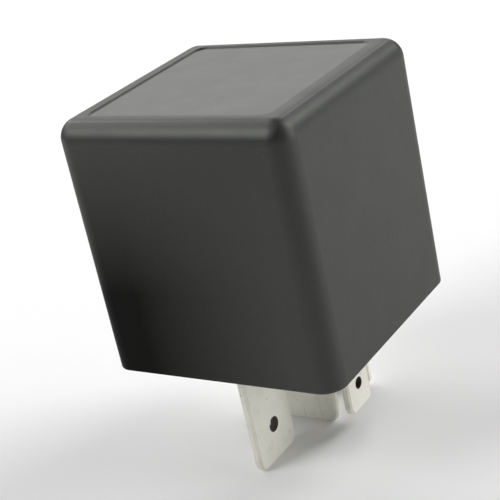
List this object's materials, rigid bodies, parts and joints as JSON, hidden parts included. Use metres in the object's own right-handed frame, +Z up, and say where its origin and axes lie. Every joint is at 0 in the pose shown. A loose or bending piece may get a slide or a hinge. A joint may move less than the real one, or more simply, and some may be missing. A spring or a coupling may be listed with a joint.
{
  "type": "plug-in relay",
  "caption": "Cube plug-in changeover relay with a pull-off cover, flat blade terminals, a coil, and a hinged armature that rocks between two fixed contacts.",
  "frame": {"origin": "centre of the seating plane, which is the underside of the base and of the cover's rim", "axes": "+Z up, from the blades to the cover's top; -Y towards the front face, behind which terminal 30 stands edge on; +X towards the coil terminal that is seen in the picture"},
  "size_m": [0.0236, 0.0226, 0.0354],
  "materials": {
    "cover_plastic": "fine moulded texture",
    "base_plastic": "moulded, satin",
    "bobbin_plastic": "natural moulded nylon",
    "tin_plate": "tin-plated brass, matt",
    "zinc_steel": "bright zinc plate",
    "copper_wire": "enamelled copper",
    "spring_bronze": "rolled copper alloy strip",
    "silver": "silver alloy"
  },
  "bodies": {
    "base_unit": {"base": "base_plastic", "terminal_30": "tin_plate", "terminal_85": "tin_plate", "terminal_86": "tin_plate", "terminal_87": "tin_plate", "terminal_87a": "tin_plate", "nc_strip": "tin_plate", "nc_bracket": "tin_plate", "no_bracket": "tin_plate", "yoke": "zinc_steel", "yoke_rivets": "zinc_steel", "core": "zinc_steel", "bobbin": "bobbin_plastic", "coil_winding": "copper_wire", "coil_lead_85": "copper_wire", "coil_lead_86": "copper_wire", "contact_no": "silver", "contact_nc": "silver"},
    "armature_unit": {"armature": "zinc_steel", "armature_rivets": "zinc_steel", "contact_spring": "spring_bronze", "moving_contact": "silver"},
    "cover_unit": {"cover": "cover_plastic"}
  },
  "joints": [
    {"name": "armature_hinge", "type": "hinge", "parent": "base_unit", "child": "armature_unit", "pos_m": [0, -0.00905, 0.01765], "axis": [-1, 0, 0], "range_deg": [0, 4], "stiffness_Nm_per_rad": 0.05, "springref_deg": -5.73, "deforming": ["contact_spring"]},
    {"name": "cover_lift", "type": "slide", "parent": "base_unit", "child": "cover_unit", "axis": [0, 0, 1], "range_m": [0, 0.024]}
  ]
}
